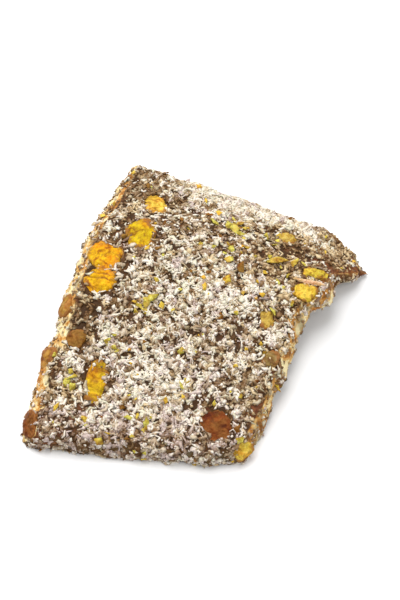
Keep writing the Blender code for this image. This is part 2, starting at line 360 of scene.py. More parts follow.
class Finish:
    """A node-based material, and short ways to add to it."""

    def __init__(self, name):
        self.material = bpy.data.materials.new(name)
        self.material.use_nodes = True
        self.nodes = self.material.node_tree.nodes
        self.shader = self.nodes["Principled BSDF"]

    def feed(self, node, key, value):
        """Give an input of a node another node's output, a number or a plain colour."""
        socket = node.inputs[key]
        if hasattr(value, "is_output"):
            self.material.node_tree.links.new(value, socket)
        elif socket.type == "RGBA":
            socket.default_value = (*value, 1.0)
        else:
            socket.default_value = value

    def stored(self, name):
        """A number stored on the mesh's vertices."""
        attribute = self.nodes.new("ShaderNodeAttribute")
        attribute.attribute_name = name
        return attribute.outputs["Fac"]

    def noise(self, scale, detail=3.0, roughness=0.55, distortion=0.0):
        """Noise in object space, with its scale in bumps per metre."""
        texture = self.nodes.new("ShaderNodeTexNoise")
        place = self.nodes.new("ShaderNodeTexCoord")
        self.feed(texture, "Vector", place.outputs["Object"])
        self.feed(texture, "Scale", scale)
        self.feed(texture, "Detail", detail)
        self.feed(texture, "Roughness", roughness)
        self.feed(texture, "Distortion", distortion)
        return texture.outputs["Fac"]

    def ramp(self, source, *stops):
        """Colours for a number; each stop is a position and a colour."""
        ramp = self.nodes.new("ShaderNodeValToRGB")
        elements = ramp.color_ramp.elements
        while len(elements) < len(stops):
            elements.new(0.5)
        for element, (position, rgb) in zip(elements, stops):
            element.position = position
            element.color = (*rgb, 1.0)
        self.feed(ramp, "Fac", source)
        return ramp.outputs["Color"]

    def mix(self, factor, first, second, blend="MIX"):
        """Two colours mixed; each input is a node's output or a plain value."""
        mix = self.nodes.new("ShaderNodeMix")
        mix.data_type = "RGBA"
        mix.blend_type = blend
        for key, value in zip((0, 6, 7), (factor, first, second)):
            self.feed(mix, key, value)
        return mix.outputs[2]

    def bump(self, height, distance):
        """Fine relief of the surface; the distance is in metres."""
        bump = self.nodes.new("ShaderNodeBump")
        self.feed(bump, "Height", height)
        self.feed(bump, "Distance", distance)
        return bump.outputs["Normal"]

    def surface(self, **inputs):
        """Set the shader's inputs, which are named with _ for each space."""
        for key, value in inputs.items():
            self.feed(self.shader, key.replace("_", " "), value)


def grey(value):
    return (value, value, value)


def paste_material(paste):
    """Dark sticky paste under the coat, darkest in the coat's holes and low spots as painted shade, pale
    and rusty where it is cut, red where it is torn.
    """
    finish = Finish("carrot_paste")
    torn = finish.stored("torn")
    mottle = finish.noise(420.0, 5.0, 0.7)
    face = finish.ramp(mottle, (0.30, paste.dark), (0.50, paste.body), (0.66, paste.red))
    # Painted shade: the paste turns darkest in the holes of the coat and in low spots.
    face = finish.mix(finish.stored("hollow"), face, paste.dark)
    ruddy = finish.ramp(mottle, (0.34, paste.dark), (0.50, paste.red), (0.68, paste.stain))
    face = finish.mix(torn, face, ruddy)

    streaks = finish.noise(190.0, 4.0, 0.65, 0.6)
    wall = finish.ramp(streaks,
                       (0.31, paste.body), (0.42, paste.rust), (0.50, paste.cut), (0.58, paste.pale))
    tear = finish.ramp(streaks, (0.38, paste.dark), (0.50, paste.stain), (0.64, paste.cut))
    wall = finish.mix(torn, wall, tear)

    gloss = finish.noise(700.0, 2.0)
    grit = finish.noise(1900.0, 3.0, 0.6)
    finish.surface(
        Base_Color=finish.mix(finish.stored("cut"), face, wall),
        Roughness=finish.ramp(gloss, (0.35, grey(0.55)), (0.65, grey(0.85))),
        Normal=finish.bump(grit, 0.35 * MM),
        Specular_IOR_Level=0.22,
        Subsurface_Weight=0.06,
        Subsurface_Scale=1.2 * MM,
        Subsurface_Radius=(1.0, 0.5, 0.25),
    )
    return finish.material


def coconut_material(coat, name):
    """Coconut from dry white to soaked tan, each bit with its own tone and tint; the tone also holds
    painted light on the back strip and front wall, and painted shade along the front edge and in the
    shaded patches.
    """
    finish = Finish(name)
    plain = finish.ramp(finish.stored("tone"), (0.0, coat.tan), (0.36, coat.cream), (0.72, coat.white))
    stained = finish.ramp(finish.stored("tint"),
                          (0.16, coat.lilac), (0.34, coat.white), (0.52, coat.white),
                          (0.64, coat.green), (0.73, coat.white), (0.85, coat.ochre))
    base = finish.mix(0.72, plain, stained, "MULTIPLY")
    veins = finish.noise(1500.0, 3.0, 0.6)
    shade = finish.ramp(veins, (0.30, grey(0.80)), (0.62, grey(1.0)))
    fibre = finish.noise(4200.0, 2.0)
    finish.surface(
        Base_Color=finish.mix(1.0, base, shade, "MULTIPLY"),
        Roughness=finish.ramp(veins, (0.3, grey(0.42)), (0.7, grey(0.66))),
        Normal=finish.bump(fibre, 0.06 * MM),
        Subsurface_Weight=0.10,
        Subsurface_Scale=0.5 * MM,
        Subsurface_Radius=(1.0, 0.8, 0.5),
    )
    return finish.material


def nut_material(name, flesh, paste, veins):
    """Nut flesh, cloudy and veined, with paste smeared in ragged patches round its rim."""
    finish = Finish(name)
    deep = tuple(c * k for c, k in zip(flesh, (0.50, 0.33, 0.38)))
    light = tuple(min(c * k + lift, 1.0)
                  for c, k, lift in zip(flesh, (1.25, 1.46, 2.6), (0.045, 0.024, 0.004)))
    cloud = finish.noise(260.0, 5.0, 0.7, 0.8)
    body = finish.ramp(cloud, (0.37, deep), (0.48, flesh), (0.60, light))
    hue = finish.noise(170.0, 2.0, 0.5, 0.6)
    cast = finish.ramp(hue, (0.36, (1.0, 0.74, 0.60)), (0.48, grey(1.0)), (0.62, (0.90, 1.0, 1.0)))
    body = finish.mix(0.85, body, cast, "MULTIPLY")
    crease = finish.noise(520.0, 3.0, 0.5, 1.2)
    line = finish.ramp(crease, (0.34, grey(0.45)), (0.44, grey(0.0)), (1.0, grey(0.0)))
    base = finish.mix(line, body, veins)
    grain = finish.noise(1100.0, 5.0, 0.7)
    finish.surface(
        Base_Color=finish.mix(finish.stored("rim"), base, paste.stain),
        Roughness=finish.ramp(cloud, (0.3, grey(0.40)), (0.7, grey(0.62))),
        Normal=finish.bump(grain, 0.40 * MM),
        Specular_IOR_Level=0.12,
        Subsurface_Weight=0.10,
        Subsurface_Scale=1.0 * MM,
        Subsurface_Radius=(1.0, 0.6, 0.2),
    )
    return finish.material


# ---- the leaf of paste

# The pockets are filled with copies of the nuts, made wider and taller and let down.
PLUG_SPREAD = 1.16
PLUG_STRETCH = 1.1
PLUG_DROP = 1.0 * MM

# How steeply a patch fades, how ragged its rim is, and how much of it is whole.
PATCH_FADE = 1.25
PATCH_RAGGED = 0.42
PATCH_CORE = 0.45

# A wall is where the upward part of the normal is less than this.
WALL_SLOPE = 0.6
BACK_SLACK = 0.5 * MM
# How wide the worn rim, the strip along the back edge and the band along the front edge are.
WEAR_REACH = 5.5 * MM
STRIP_LEFT = -15.0 * MM
STRIP_RIGHT = 33.0 * MM
STRIP_FADE = 12.0 * MM
STRIP_WIDTH = 3.6 * MM
FRONT_WIDTH = 3.5 * MM
FRONT_FADE = 8.0 * MM
HOLE_STEP = 1.35 * MM
# The paste right of here belongs to the tear at the tip.
TEAR_START = 30.0 * MM
# The underside is left even up to this height, so that the leaf lies flat.
EVEN_HEIGHT = 0.8 * MM


def filled_leaf():
    """The leaf with its pockets filled a little below the face."""
    bm = cad_copy(LEAF)
    whole = bpy.data.meshes.new("leaf_whole")
    for node in NUTS:
        middle, out, _long, _across, _halves = nut_seat(node)
        plug = cad_copy(node)
        for vert in plug.verts:
            offset = np.array(vert.co) - middle
            up = offset @ out
            flat = offset - out * up
            vert.co = middle + flat * PLUG_SPREAD + out * (up * PLUG_STRETCH - PLUG_DROP)
        spare = bpy.data.meshes.new("plug")
        plug.to_mesh(spare)
        plug.free()
        bm.from_mesh(spare)
        bpy.data.meshes.remove(spare)
    bm.to_mesh(whole)
    bm.free()
    return whole


def patches(points, table):
    """How deep each point lies in the ragged patches of a table, from 0 to 1."""
    inside = np.zeros(len(points))
    ragged = ripples(points, 2.6 * MM, 13.0) + 0.6 * ripples(points, 1.1 * MM, 17.0)
    for x, y, reach, strength in table:
        away = np.hypot(points[:, 0] - x * MM, points[:, 1] - y * MM) / (reach * MM)
        fade = ease(PATCH_FADE * (away + PATCH_RAGGED * ragged) - PATCH_CORE)
        inside = np.maximum(inside, strength * (1.0 - fade))
    return inside


def rim_tree(back_only):
    """The places of the leaf's walls, or of its back wall only, seen from above."""
    points = cad_points(LEAF)
    normals = read_normals(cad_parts[LEAF].data)
    walls = np.abs(normals[:, 2]) < WALL_SLOPE
    if back_only:
        # The back wall lies behind the line from the back corner to the tip.
        corner, tip = points[points[:, 1].argmax()], points[points[:, 0].argmax()]
        way = (tip - corner) / np.linalg.norm(tip - corner)
        behind = (points - corner) @ np.array((-way[1], way[0], 0.0))
        walls &= behind > -BACK_SLACK
    tree = kdtree.KDTree(int(walls.sum()))
    for index, (x, y, _z) in enumerate(points[walls]):
        tree.insert((x, y, 0.0), index)
    tree.balance()
    return tree


RIM = rim_tree(False)
BACK_RIM = rim_tree(True)


def away_from(tree, points):
    """How far each point is from the places of a tree, seen from above."""
    return np.array([tree.find((x, y, 0.0))[2] for x, y, _z in points])


def edge_wear(points):
    """1 at the leaf's rim, falling to 0 well inside it."""
    return np.exp(-(away_from(RIM, points) / WEAR_REACH) ** 2)


def back_strip(points):
    """1 on the narrow strip along the back edge, where the leaf turns down, and 0 elsewhere. Paste and
    coconut on this strip are painted paler, as painted light.
    """
    away = away_from(BACK_RIM, points) + 0.5 * MM * ripples(points * (1.0, 1.0, 0.0), 3.0 * MM)
    x = points[:, 0]
    ends = ease((x - STRIP_LEFT) / STRIP_FADE) * (1.0 - ease((x - STRIP_RIGHT) / STRIP_FADE))
    return ends * (1.0 - ease((away - STRIP_WIDTH) / (3.0 * MM)))


def front_band(points):
    """1 along the front edge, falling to 0 behind it; the two corner nuts give its line. Coconut in this
    band is painted darker and more lilac, as painted shade.
    """
    left, right = (nut_seat(node)[0][:2] for node in ("nut_front_left", "nut_front_right"))
    way = (right - left) / np.linalg.norm(right - left)
    behind = (points[:, :2] - left) @ np.array((-way[1], way[0]))
    return 1.0 - ease((behind - FRONT_WIDTH) / FRONT_FADE)


def clumps(points):
    """Broad unevenness of the coat, the same for the paste and what lies on it."""
    return ripples(points, 4.2 * MM) + 0.5 * ripples(points, 9.0 * MM, 5.0)


def holes(points):
    """Small holes in the coat: from about -1 to 1, highest in a hole."""
    return ripples(points, HOLE_STEP, 3.0)


# What holes() gives along a slanting line, from which the level for a share of holes is read.
HOLE_SAMPLE = holes([(i * 0.37 * MM, i * 0.61 * MM, 0.0) for i in range(4000)])


def front_share(normals):
    """1 on the front wall, which is coated as the faces are."""
    return ease((-normals[:, 1] - 0.35) / 0.35)


def cut_share(normals):
    """How much of each place is cut wall: 0 on the faces, 1 on the sides."""
    return ease((0.86 - np.abs(normals[:, 2])) / 0.22)


def make_leaf(paste):
    """The lumpy leaf, with how far each place is cut or torn, and how much painted shade it gets in the
    coat's holes and low spots, stored for its material.
    """
    mesh = with_modifier(filled_leaf(), "REMESH", mode="VOXEL", voxel_size=paste.grain, adaptivity=0.0)
    mesh = with_modifier(mesh, "SMOOTH", factor=0.5, iterations=6)
    points, normals = read_points(mesh), read_normals(mesh)
    bumps = clumps(points)
    pits = holes(points)
    cut = cut_share(normals)
    cut_face = patches(points, CUT_PATCHES)
    bare = np.maximum(patches(points, BARE_PATCHES), cut_face) * (normals[:, 2] > 0.5)
    grit = ripples(points, 0.9 * MM, 11.0)
    height = paste.lumps * (0.5 * bumps - 0.3 - 0.5 * bare) + paste.grit * grit
    height -= 0.5 * paste.lumps * ease(pits) * (1.0 - cut)
    off_ground = ease(points[:, 2] / EVEN_HEIGHT)
    write_points(mesh, points + normals * (height * off_ground)[:, None])

    # Painted light: the paste on the back strip takes the paler colours of the cut walls.
    strip = back_strip(points) * (normals[:, 2] > 0.0)
    cut = np.maximum(cut * (1.0 - 0.9 * front_share(normals)), np.maximum(0.8 * strip, cut_face))
    in_tear = points[:, 0] > TEAR_START
    torn = patches(points, TORN_PATCHES) * np.where(in_tear, 1.0 - cut_face, 1.0 - cut)
    add_values(mesh, "cut", cut)
    add_values(mesh, "torn", torn)
    # Painted shade for the paste in the coat's holes and low spots.
    add_values(mesh, "hollow", ease(0.4 + 0.6 * pits - 0.5 * bumps))
    settle(mesh)
    return add_piece("paste_leaf", mesh, paste_material(paste), "paste", LEAF)


class CEZERYE_OT_leaf(bpy.types.Operator):
    """Make the leaf of paste with its lumps, hollows and cut walls"""
    bl_idname = "cezerye.leaf"
    bl_label = "Paste Leaf"

    def execute(self, context):
        make_leaf(context.scene.cezerye_paste)
        return {"FINISHED"}


# ---- the nuts

# Nuts with a longer half than this get a finer mesh.
BIG_NUT = 4.4 * MM
# How much of what lies past a chopping plane goes.
CHOPPED_AWAY = 0.88


def chop(offset, rng, out, long, across, lean, reach_share):
    """Flatten what lies past one random plane; lean is 0 for the top and large for the side."""
    turn = rng.uniform(0.0, 2.0 * math.pi)
    facet = out + lean * (math.cos(turn) * long + math.sin(turn) * across)
    facet /= np.linalg.norm(facet)
    reach = offset @ facet
    past = np.maximum(reach - reach_share * reach.max(), 0.0)
    return offset - facet * (CHOPPED_AWAY * past)[:, None]


def shape_pair_lower(offset, lumps, middle, out):
    """Narrow the lower nut of the pair ahead, join it to its twin and crack it twice, in place."""
    twin = nut_seat("nut_pair_upper")[0] - middle
    toward = twin / np.linalg.norm(twin)
    beside = np.cross(out, toward)
    ahead = ease(-(offset @ toward) / (5.0 * MM))
    offset -= beside * (0.45 * ahead * (offset @ beside))[:, None]
    joined = ease(offset @ toward / (3.0 * MM)) * ease(0.5 - offset @ beside / (6.0 * MM))
    offset += toward * (1.3 * MM * joined)[:, None]
    way = offset @ toward / MM + 0.5 * lumps
    for place in (0.3, 2.1):
        crack = np.exp(-((way - place) / 0.32) ** 2)
        offset -= out * (0.5 * MM * crack)[:, None]
        lumps -= 2.2 * crack


def make_nut(node, index, flesh, paste, veins):
    """A chopped nut in its seat: faceted top, grain, and paste round the rim."""
    middle, out, long, across, halves = nut_seat(node)
    plain = bpy.data.meshes.new(node)
    bm = cad_copy(node)
    bm.to_mesh(plain)
    bm.free()
    fine = 3 if halves[0] > BIG_NUT else 2
    mesh = with_modifier(plain, "SUBSURF", levels=fine, render_levels=fine)
    points, normals = read_points(mesh), read_normals(mesh)
    rng = np.random.default_rng(100 + index)
    offset = points - middle
    paired = "pair" in node
    swell = 1.0 + SWELL_MORE.get(node, SWELL) * (1.0 - np.abs(offset @ out) / halves[2])
    offset *= swell[:, None]
    for _side in range(2 if paired else 5):
        offset = chop(offset, rng, out, long, across, rng.uniform(2.2, 5.0), rng.uniform(0.80, 0.93))
    for _top in range(4):
        offset = chop(offset, rng, out, long, across, rng.uniform(0.15, 0.6), rng.uniform(0.76, 0.90))

    lumps = ripples(points, 2.6 * MM, index)
    grain = ripples(points, 0.8 * MM, index + 3.0)
    offset += normals * (0.24 * MM * lumps + 0.16 * MM * grain)[:, None]
    if node == "nut_pair_lower":
        shape_pair_lower(offset, lumps, middle, out)
    write_points(mesh, middle + offset)

    outline = np.hypot(offset @ long / halves[0], offset @ across / halves[1])
    rim = ease((outline + 0.20 * lumps + 0.14 * grain - 0.74) / 0.26)
    smear = ease(-0.9 - lumps) * 0.8
    add_values(mesh, "rim", np.maximum((0.5 if paired else 0.85) * rim, smear))
    smooth(mesh)
    material = nut_material(node + "_flesh", flesh, paste, veins)
    return add_piece("chopped_" + node, mesh, material, node, node)


class CEZERYE_OT_nuts(bpy.types.Operator):
    """Finish the chopped nuts in their seats"""
    bl_idname = "cezerye.nuts"
    bl_label = "Chopped Nuts"

    def execute(self, context):
        nuts = context.scene.cezerye_nuts
        for index, node in enumerate(NUTS):
            flesh = getattr(nuts, NUT_KINDS.get(node, "yellow"))
            make_nut(node, index, flesh, context.scene.cezerye_paste, nuts.shell)
        return {"FINISHED"}


# ---- the coat

SHRED_HEIGHT = 0.50 * MM
FLAKE_HEIGHT = 0.34 * MM
# How many vertices one bit has.
SLIVER_CORNERS = 9
GRAIN_CORNERS = 6
# How far above or below its middle a nut keeps the coat off.
NUT_REACH = 3.0 * MM


@functools.lru_cache(maxsize=1)
def survey():
    """The finished leaf's triangles, and how thickly the coat lies on each."""
    mesh = bpy.data.objects["paste_leaf"].data
    mesh.calc_loop_triangles()
    corners = np.empty(len(mesh.loop_triangles) * 3, dtype=np.int32)
    mesh.loop_triangles.foreach_get("vertices", corners)
    corners = corners.reshape(-1, 3)
    points, normals = read_points(mesh), read_normals(mesh)
    thick = coat_thickness(points, normals)
    ground = types.SimpleNamespace()
    ground.a, ground.b, ground.c = (points[corners[:, i]] for i in range(3))
    ground.normal = normals[corners].mean(axis=1)
    ground.normal /= np.linalg.norm(ground.normal, axis=1)[:, None]
    ground.area = 0.5 * np.linalg.norm(np.cross(ground.b - ground.a, ground.c - ground.a), axis=1)
    ground.thick = thick[corners].mean(axis=1)
    ground.grains = (thick + 0.14 * off_nuts(points))[corners].mean(axis=1)
    return ground


def coat_thickness(points, normals):
    """How thickly the coat lies at each place: bare patches, walls and nuts stay clearer."""
    up = normals[:, 2] > 0.0
    thick = 0.78 + 0.22 * ease(0.62 + 0.40 * clumps(points))
    bare = np.maximum(patches(points, BARE_PATCHES), 0.95 * patches(points, CUT_PATCHES))
    bare = np.where(up, bare, 0.0)
    wall = cut_share(normals) * (0.93 - 0.80 * front_share(normals))
    worn = 0.35 * np.where(up, edge_wear(points), 0.0) * (1.0 - back_strip(points))
    side = np.where(up, 1.0, 0.70)
    return thick * (1.0 - 0.95 * bare) * (1.0 - wall) * (1.0 - worn) * side * off_nuts(points)


def scatter(rng, count, weight):
    """Places and normals spread over the leaf, by a weight for each of its triangles."""
    ground = survey()
    chance = ground.area * weight
    picks = rng.choice(len(chance), size=count, p=chance / chance.sum())
    u, v = rng.random(count), rng.random(count)
    flip = u + v > 1.0
    u[flip], v[flip] = 1.0 - u[flip], 1.0 - v[flip]
    a, b, c = ground.a[picks], ground.b[picks], ground.c[picks]
    return a + (b - a) * u[:, None] + (c - a) * v[:, None], ground.normal[picks]


def off_nuts(points):
    """1 beside the nuts, less over their rims, and almost 0 on top of them."""
    share_left = np.ones(len(points))
    for node in NUTS:
        middle, out, long, across, halves = nut_seat(node)
        offset = points - middle
        inside = (offset @ long / halves[0]) ** 2 + (offset @ across / halves[1]) ** 2
        near = np.abs(offset @ out) < NUT_REACH
        top = 0.45 if node == "nut_long" else 0.66
        rim, rim_share, top_share = (1.3, 0.15, 0.0) if node in CLEAR_NUTS else (1.0, 0.60, 0.02)
        share_left[(inside < rim) & near] = rim_share
        share_left[(inside < top) & near] = top_share
    return share_left


def directions(rng, facing, tilt):
    """A random flat direction for each place, tipped up or down by about the tilt."""
    loose = rng.normal(size=facing.shape)
    flat = loose - facing * (loose * facing).sum(axis=1)[:, None]
    flat /= np.linalg.norm(flat, axis=1)[:, None]
    tip = rng.normal(0.0, tilt, len(facing))[:, None]
    along = flat * np.cos(tip) + facing * np.sin(tip)
    side = np.cross(facing, along)
    side /= np.linalg.norm(side, axis=1)[:, None]
    up = np.cross(along, side)
    return along, side, up


@functools.lru_cache(maxsize=1)
def coat_bed():
    """What the coat lies on: the leaf with its nuts."""
    points, faces, start = [], [], 0
    for name in ["paste_leaf"] + ["chopped_" + node for node in NUTS]:
        mesh = bpy.data.objects[name].data
        points += [vert.co[:] for vert in mesh.vertices]
        faces += [[start + index for index in polygon.vertices] for polygon in mesh.polygons]
        start += len(mesh.vertices)
    return bvhtree.BVHTree.FromPolygons(points, faces)


def lay_down(points, heights):
    """Points brought to the bed of the coat and raised, with the bed's normals there."""
    bed = coat_bed()
    laid, normals = np.empty_like(points), np.empty_like(points)
    for index, point in enumerate(points):
        laid[index], normals[index], _face, _away = bed.find_nearest(point)
    return laid + normals * heights[:, None], normals


def keep_off_holes(paths, share):
    """True for each path that has no point in a hole; more is left open where the coat is thin."""
    clear = np.ones(len(paths[0]), dtype=bool)
    for path in paths:
        level = np.quantile(HOLE_SAMPLE, 1.0 - share) + 0.03 * clumps(path) + 0.70 * back_strip(path)
        level += 0.25 * patches(path, PALE_AND_LIT_PATCHES)
        clear &= holes(path) < level
    return clear


def keep_off_walls(rng, normals):
    """True for each bit that lies clear of the cut walls; a few stray over them."""
    over = np.zeros(len(normals[0]))
    for outward in normals:
        over = np.maximum(over, cut_share(outward) * (1.0 - front_share(outward)))
    return over < 0.5 + 4.0 * rng.random(len(over)) ** 6


def sliver_mesh(name, rng, paths, normals, wide, tall):
    """Bent slivers with a three-sided section and blunt ends, as one mesh."""
    count = len(wide)
    ways = [paths[1] - paths[0], paths[2] - paths[0], paths[2] - paths[1]]
    rings = []
    for path, normal, way, full in zip(paths, normals, ways, (0.62, 1.0, 0.66)):
        side = np.cross(normal, way)
        side /= np.maximum(np.linalg.norm(side, axis=1), 1e-9)[:, None]
        for across, high in ((-0.5, -0.35), (0.5, -0.35), (0.0, 0.65)):
            reach = across * wide * full * rng.uniform(0.72, 1.28, count)
            reach += rng.uniform(-0.12, 0.12, count) * wide
            lift = high * tall * full * rng.uniform(0.72, 1.28, count)
            rings.append(path + side * reach[:, None] + normal * lift[:, None])
    verts = np.stack(rings, axis=1).reshape(-1, 3)
    quads = []
    for ring in (0, 3):
        for k in range(3):
            n = (k + 1) % 3
            quads.append((ring + k, ring + n, ring + 3 + n, ring + 3 + k))
    ends = [(2, 1, 0), (6, 7, 8)]
    return build(name, verts, quads, ends, count, SLIVER_CORNERS)


def grain_mesh(name, rng, place, axes, sizes):
    """Uneven eight-sided grains as one mesh."""
    count = len(place)
    verts = []
    for axis, size in zip(axes, sizes):
        for sign in (-1.0, 1.0):
            reach = sign * 0.5 * size * rng.uniform(0.7, 1.25, count)
            slip = rng.normal(0.0, 0.12, (count, 3)) * size[:, None]
            verts.append(place + axis * reach[:, None] + slip)
    verts = np.stack(verts, axis=1).reshape(-1, 3)
    faces = []
    for x in (0, 1):
        for y in (2, 3):
            for z in (4, 5):
                turned = (x + y + z) % 2 == 0
                faces.append((x, z, y) if turned else (x, y, z))
    return build(name, verts, [], faces, count, GRAIN_CORNERS)


def build(name, verts, quads, tris, count, corners):
    """One mesh from many copies of the same small set of faces."""
    starts = np.arange(count)[:, None] * corners
    loops, sizes = [], []
    for shape in quads + tris:
        loops.append(starts + np.array(shape)[None, :])
        sizes.append(len(shape))
    corner_rows = np.concatenate(loops, axis=1).ravel()
    totals = np.tile(np.array(sizes), count)
    mesh = bpy.data.meshes.new(name)
    mesh.vertices.add(len(verts))
    mesh.vertices.foreach_set("co", verts.astype(np.float32).ravel())
    mesh.loops.add(len(corner_rows))
    mesh.loops.foreach_set("vertex_index", corner_rows.astype(np.int32))
    mesh.polygons.add(len(totals))
    first_loops = np.concatenate(([0], np.cumsum(totals)[:-1]))
    mesh.polygons.foreach_set("loop_start", first_loops.astype(np.int32))
    mesh.update(calc_edges=True)
    mesh.validate()
    return mesh


def add_coconut(name, mesh, rng, place, facing, lift, corners, coat):
    """Give each bit of coconut its tone and tint, and add the bits as one piece of the coat."""
    count = len(place)
    up = facing[:, 2] > 0.0
    strip = np.where(up, back_strip(place), 0.0)
    soaked = np.where(up, patches(place, SOAKED_PATCHES), 0.3) * (1.0 - strip)
    # Painted shade: coconut along the front edge, and a little on the walls, is darker and more lilac.
    front = np.where(up, front_band(place), 0.3)
    cloud = ripples(place, 1.7 * MM, 7.0)
    tone = 0.62 * cloud + 0.05 * clumps(place) + 0.42 * (lift - 0.4) + rng.normal(0.0, 0.14, count)
    # Pale patches, some of them painted light on the front wall; dull patches, some of them painted
    # shade.
    tone += np.where(up, 0.30 * patches(place, PALE_AND_LIT_PATCHES) - 0.26 * patches(place, DULL_AND_SHADED_PATCHES), 0.0)
    # Painted light: coconut on the back strip is paler and evener in tone.
    tone = 0.50 + tone * (1.0 - 0.4 * strip) + 0.14 * strip
    tone -= 0.26 * soaked + 0.04 * front + 0.08 * edge_wear(place) * (1.0 - strip)
    # Painted light: coconut on the front wall, which faces away from the key light, is made paler.
    tone += 0.08 * front_share(facing)
    hue = ripples(place, 3.2 * MM, 9.0)
    tint = 0.50 + 0.27 * hue + 0.42 * soaked - 0.24 * front + rng.normal(0.0, 0.15, count)
    add_values(mesh, "tone", np.repeat(np.clip(tone, 0.0, 1.0), corners))
    add_values(mesh, "tint", np.repeat(np.clip(tint, 0.0, 1.0), corners))
    settle(mesh)
    return add_piece(name, mesh, coconut_material(coat, name + "_tone"), "paste")


def make_slivers(name, rng, count, sizes, coat):
    """Scatter bent slivers of coconut over the leaf as one piece."""
    place, facing = scatter(rng, count, survey().thick)
    along, side, _up = directions(rng, facing, 0.0)
    long = sizes[0] * rng.lognormal(0.0, 0.30, count)
    bend = rng.normal(0.0, 0.8, count)
    paths = [place + along * (t * long)[:, None] + side * (bend * (0.25 - t * t) * long)[:, None]
             for t in (-0.5, 0.0, 0.5)]
    clear = keep_off_holes(paths, coat.hole_share)
    count = int(clear.sum())
    place, facing = place[clear], facing[clear]
    lift = rng.beta(1.5, 2.0, count)
    wide = sizes[1] * rng.lognormal(0.0, 0.28, count)
    tall = sizes[2] * rng.lognormal(0.0, 0.22, count)
    laid, normals = [], []
    for path in paths:
        height = (-0.08 + 0.50 * lift) * MM + rng.normal(0.0, 0.09 * MM, count)
        points, outward = lay_down(path[clear] + facing * (0.5 * MM), height)
        laid.append(points)
        normals.append(outward)
    kept = keep_off_walls(rng, normals)
    laid, normals = [path[kept] for path in laid], [outward[kept] for outward in normals]
    mesh = sliver_mesh(name, rng, laid, normals, wide[kept], tall[kept])
    place, facing, lift = place[kept], facing[kept], lift[kept]
    return add_coconut(name, mesh, rng, place, facing, lift, SLIVER_CORNERS, coat)


def make_grains(name, rng, count, coat):
    """Scatter fine grains of coconut over the leaf as one piece."""
    place, facing = scatter(rng, count, survey().grains)
    clear = keep_off_holes([place], 0.6 * coat.hole_share)
    place, facing = place[clear], facing[clear]
    count = len(place)
    size = coat.grain_size * rng.lognormal(0.0, 0.3, count)
    lift = rng.beta(1.5, 2.0, count)
    centre = place + facing * ((-0.05 + 0.55 * lift) * MM)[:, None]
    mesh = grain_mesh(name, rng, centre, directions(rng, facing, 0.5), (size * 1.3, size, size * 0.7))
    return add_coconut(name, mesh, rng, place, facing, lift, GRAIN_CORNERS, coat)


class CEZERYE_OT_coconut(bpy.types.Operator):
    """Coat the leaf with coconut: shreds, wider flakes and fine grains"""
    bl_idname = "cezerye.coconut"
    bl_label = "Coconut Coat"

    def execute(self, context):
        coat = context.scene.cezerye_coat
        shred = (coat.shred_length, coat.shred_width, SHRED_HEIGHT)
        flake = (coat.flake_length, coat.flake_width, FLAKE_HEIGHT)
        make_slivers("coconut_shreds", np.random.default_rng(1), coat.shreds, shred, coat)
        make_slivers("coconut_flakes", np.random.default_rng(2), coat.flakes, flake, coat)
        make_grains("coconut_grains", np.random.default_rng(3), coat.grains, coat)
        return {"FINISHED"}


# ---- the crumbs

PISTACHIO_SIZE = 2.5 * MM
CRUMB_SIZE = 1.5 * MM
CRUMB_STEP = 0.9 * MM
SKIN_LENGTH = 12.0 * MM
SKIN_WIDTH = 2.8 * MM
SKIN_HEIGHT = 1.8 * MM
SKIN_STEP = 1.1 * MM


def on_face(places):
    """The points of the upper face at places given in millimetres, with their normals."""
    leaf = bpy.data.objects["paste_leaf"]
    hits = [leaf.ray_cast((x * MM, y * MM, 0.1), (0.0, 0.0, -1.0)) for x, y in places]
    return np.array([hit[1] for hit in hits]), np.array([hit[2] for hit in hits])


def add_nut_bits(name, mesh, step, depth, flesh, paste, veins):
    """Roughen bits of nut and add them as one piece of the coat."""
    points = read_points(mesh)
    shift = np.array([noise.noise_vector(Vector(point) / step) for point in points])
    write_points(mesh, points + depth * shift)
    add_values(mesh, "rim", np.zeros(len(points)))
    settle(mesh)
    return add_piece(name, mesh, nut_material(name + "_flesh", flesh, paste, veins), "paste")


def make_crumbs(name, rng, place, facing, middle_size, flesh, paste, veins):
    """Broken crumbs of nut, half sunk in the coat."""
    count = len(place)
    size = middle_size * rng.lognormal(0.0, 0.28, count)
    place = place + facing * (0.16 * size + 0.24 * MM)[:, None]
    sizes = (size * 1.4, size, size * 0.6)
    mesh = grain_mesh(name, rng, place, directions(rng, facing, 0.3), sizes)
    mesh = with_modifier(mesh, "SUBSURF", subdivision_type="SIMPLE", levels=2, render_levels=2)
    mesh = with_modifier(mesh, "SMOOTH", factor=0.5, iterations=1)
    return add_nut_bits(name, mesh, CRUMB_STEP, 0.16 * size.mean(), flesh, paste, veins)


def make_skin(paste, veins):
    """The strip of pale nut skin that stands between the two nuts in the tear."""
    front, back = (nut_seat(node) for node in ("nut_torn_front", "nut_torn_back"))
    middle = 0.5 * (front[0] + back[0])
    rng = np.random.default_rng(30)
    paths, normals = [], []
    for share_along in (-0.5, 0.0, 0.5):
        point = middle + front[2] * (share_along * SKIN_LENGTH) + front[1] * MM
        laid, normal = lay_down(point[None, :], np.array([0.7 * MM]))
        paths.append(laid)
        normals.append(normal)
    wide, tall = np.array([SKIN_WIDTH]), np.array([SKIN_HEIGHT])
    mesh = sliver_mesh("nut_skin", rng, paths, normals, wide, tall)
    mesh = with_modifier(mesh, "SUBSURF", levels=3, render_levels=3)
    return add_nut_bits("nut_skin", mesh, SKIN_STEP, 0.3 * MM, paste.skin, paste, veins)


